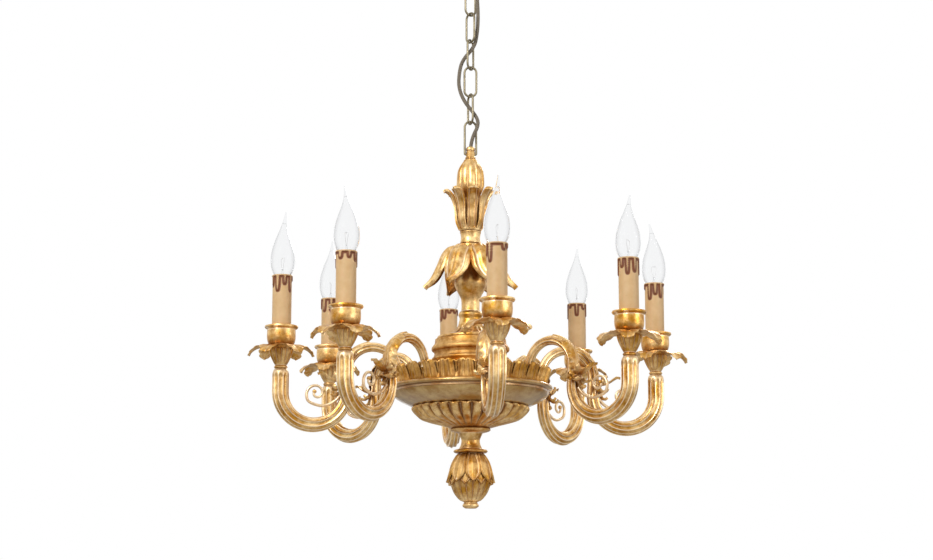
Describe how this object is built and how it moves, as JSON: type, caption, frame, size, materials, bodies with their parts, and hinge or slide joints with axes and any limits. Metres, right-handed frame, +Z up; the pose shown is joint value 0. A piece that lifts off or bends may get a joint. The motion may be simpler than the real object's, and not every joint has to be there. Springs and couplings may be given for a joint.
{
  "type": "multi arm chandelier",
  "caption": "Gilt carved candle-style chandelier with curved arms, acanthus leaves and drip pans on a turned stem, hung by a short chain and bail from a ceiling hook.",
  "frame": {"origin": "on the stem's axis, at the ceiling plane, where the hook's screw enters the ceiling", "axes": "+Z up along the stem and the screw; one arm points along each of +X, +Y, -X and -Y"},
  "size_m": [0.612, 0.612, 0.839],
  "materials": {
    "gilt_wood": "antiqued gold leaf over red-brown bole on carved wood",
    "bronze": "antique bronze",
    "cord_cloth": "woven taupe sleeve",
    "bulb_glass": "clear blown glass",
    "candle_sleeve": "waxed tan with brown drips",
    "holder_plastic": "moulded lampholder",
    "block_plastic": "moulded block",
    "wire_cover": "insulated wire",
    "brass_fitting": "threaded tube, plain",
    "steel_rod": "zinc plated rod"
  },
  "bodies": {
    "ceiling": {"ceiling_hook": "bronze", "terminal_block": "block_plastic", "supply_cord_1": "cord_cloth"},
    "canopy": {"canopy": "bronze", "canopy_collar": "bronze", "collar_screw": "bronze"},
    "link_1": {"chain_link_1": "bronze", "supply_cord_2": "cord_cloth"},
    "link_2": {"chain_link_2": "bronze", "supply_cord_3": "cord_cloth"},
    "link_3": {"chain_link_3": "bronze", "supply_cord_4": "cord_cloth"},
    "link_4": {"chain_link_4": "bronze", "supply_cord_5": "cord_cloth"},
    "link_5": {"chain_link_5": "bronze", "supply_cord_6": "cord_cloth"},
    "bail": {"bail": "bronze", "supply_cord_7": "cord_cloth"},
    "chandelier": {"bud": "gilt_wood", "leaf_cup": "gilt_wood", "stem_neck": "gilt_wood", "leaf_crown": "gilt_wood", "column": "gilt_wood", "column_base": "gilt_wood", "hub_drum": "gilt_wood", "leaf_band": "gilt_wood", "bowl": "gilt_wood", "lower_bowl": "gilt_wood", "neck_spool": "gilt_wood", "finial": "gilt_wood", "finial_leaves": "gilt_wood", "finial_button": "gilt_wood", "arm_leaves": "gilt_wood", "arm_scrolls": "gilt_wood", "drip_pans": "gilt_wood", "candle_cups": "gilt_wood", "loop_collar": "gilt_wood", "arm_1": "gilt_wood", "arm_2": "gilt_wood", "arm_3": "gilt_wood", "arm_4": "gilt_wood", "arm_5": "gilt_wood", "arm_6": "gilt_wood", "arm_7": "gilt_wood", "arm_8": "gilt_wood", "candle_sleeves": "candle_sleeve", "lampholders": "holder_plastic", "junction_block": "block_plastic", "arm_wires": "wire_cover", "arm_nipples": "brass_fitting", "candle_nipples": "brass_fitting", "center_rod": "steel_rod"},
    "bulb_1": {"bulb_1": "bulb_glass"},
    "bulb_2": {"bulb_2": "bulb_glass"},
    "bulb_3": {"bulb_3": "bulb_glass"},
    "bulb_4": {"bulb_4": "bulb_glass"},
    "bulb_5": {"bulb_5": "bulb_glass"},
    "bulb_6": {"bulb_6": "bulb_glass"},
    "bulb_7": {"bulb_7": "bulb_glass"},
    "bulb_8": {"bulb_8": "bulb_glass"}
  },
  "joints": [
    {"name": "hook_swing", "type": "hinge", "parent": "ceiling", "child": "link_1", "pos_m": [0, 0, -0.0645], "axis": [-0.4226, 0.9063, 0], "range_deg": [-12, 12], "deforming": ["supply_cord_1"]},
    {"name": "chain_swing_1", "type": "hinge", "parent": "link_1", "child": "link_2", "pos_m": [0, 0, -0.1039], "axis": [0.891, 0.454, 0], "range_deg": [-12, 12], "deforming": ["supply_cord_2"]},
    {"name": "chain_swing_2", "type": "hinge", "parent": "link_2", "child": "link_3", "pos_m": [0, 0, -0.144], "axis": [0.5592, -0.829, 0], "range_deg": [-12, 12], "deforming": ["supply_cord_3"]},
    {"name": "chain_swing_3", "type": "hinge", "parent": "link_3", "child": "link_4", "pos_m": [0, 0, -0.1841], "axis": [0.5878, 0.809, 0], "range_deg": [-12, 12], "deforming": ["supply_cord_4"]},
    {"name": "chain_swing_4", "type": "hinge", "parent": "link_4", "child": "link_5", "pos_m": [0, 0, -0.2242], "axis": [0.9925, -0.1219, 0], "range_deg": [-12, 12], "deforming": ["supply_cord_5"]},
    {"name": "bail_swing", "type": "hinge", "parent": "link_5", "child": "bail", "pos_m": [0, 0, -0.2643], "axis": [0.2756, -0.9613, 0], "range_deg": [-12, 12], "deforming": ["supply_cord_6"]},
    {"name": "stem_swing", "type": "hinge", "parent": "bail", "child": "chandelier", "pos_m": [0, 0, -0.309], "axis": [1, 0, 0], "range_deg": [-20, 20], "deforming": ["supply_cord_7"]},
    {"name": "canopy_slide", "type": "slide", "parent": "ceiling", "child": "canopy", "axis": [0, 0, 1], "range_m": [-0.05, 0]},
    {"name": "bulb_1_lift", "type": "slide", "parent": "chandelier", "child": "bulb_1", "axis": [0, 0, 1], "range_m": [0, 0.032]},
    {"name": "bulb_2_lift", "type": "slide", "parent": "chandelier", "child": "bulb_2", "axis": [0, 0, 1], "range_m": [0, 0.032]},
    {"name": "bulb_3_lift", "type": "slide", "parent": "chandelier", "child": "bulb_3", "axis": [0, 0, 1], "range_m": [0, 0.032]},
    {"name": "bulb_4_lift", "type": "slide", "parent": "chandelier", "child": "bulb_4", "axis": [0, 0, 1], "range_m": [0, 0.032]},
    {"name": "bulb_5_lift", "type": "slide", "parent": "chandelier", "child": "bulb_5", "axis": [0, 0, 1], "range_m": [0, 0.032]},
    {"name": "bulb_6_lift", "type": "slide", "parent": "chandelier", "child": "bulb_6", "axis": [0, 0, 1], "range_m": [0, 0.032]},
    {"name": "bulb_7_lift", "type": "slide", "parent": "chandelier", "child": "bulb_7", "axis": [0, 0, 1], "range_m": [0, 0.032]},
    {"name": "bulb_8_lift", "type": "slide", "parent": "chandelier", "child": "bulb_8", "axis": [0, 0, 1], "range_m": [0, 0.032]}
  ]
}
